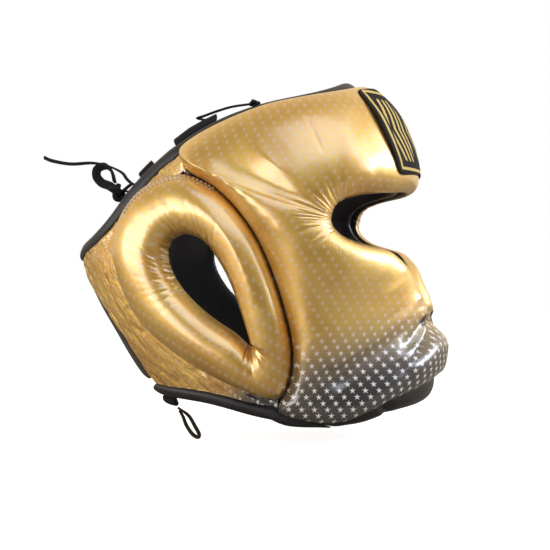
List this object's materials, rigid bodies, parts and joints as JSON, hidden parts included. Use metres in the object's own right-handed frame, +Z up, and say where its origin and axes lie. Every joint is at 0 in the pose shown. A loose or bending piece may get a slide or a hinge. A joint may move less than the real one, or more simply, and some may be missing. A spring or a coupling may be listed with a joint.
{
  "type": "boxing headgear",
  "caption": "Padded leather head guard with a closed face and chin, padded rings round the ear holes and an open, laced crown.",
  "frame": {"origin": "the middle of the head that wears it, inside the hollow, a little above ear level", "axes": "+Z up towards the crown, -Y towards the face, -X towards the wearer's right ear"},
  "size_m": [0.2166, 0.3231, 0.2771],
  "materials": {
    "printed_leather": "glossy metallic gold that fades to black at the jaw, with a lattice of small stars",
    "lining": "soft black, slightly shiny",
    "black_leather": "black, slightly shiny",
    "binding_tape": "folded black tape with a row of stitches",
    "woven_patch": "black weave with a thin gold border and a plain gold motif",
    "webbing": "ribbed black webbing",
    "lace_cord": "flat woven black lace"
  },
  "bodies": {
    "root": {"front_pad": "printed_leather", "ear_ring_right": "printed_leather", "ear_ring_left": "printed_leather", "rear_panel_right": "printed_leather", "rear_panel_left": "printed_leather", "front_lining": "lining", "back_panel": "black_leather", "top_binding": "binding_tape", "hem_binding_right": "binding_tape", "hem_binding_left": "binding_tape", "brow_patch": "woven_patch", "lace_tab_crown_right": "webbing", "lace_tab_crown_left": "webbing", "lace_tab_rear_right": "webbing", "lace_tab_rear_left": "webbing", "nape_tab": "webbing", "crown_lace": "lace_cord", "rear_lace": "lace_cord", "lace_knot_right": "lace_cord", "lace_knot_left": "lace_cord", "lace_knot_rear": "lace_cord", "lace_bow": "lace_cord", "lace_free_end": "lace_cord", "nape_tie_loop": "lace_cord"}
  },
  "joints": []
}
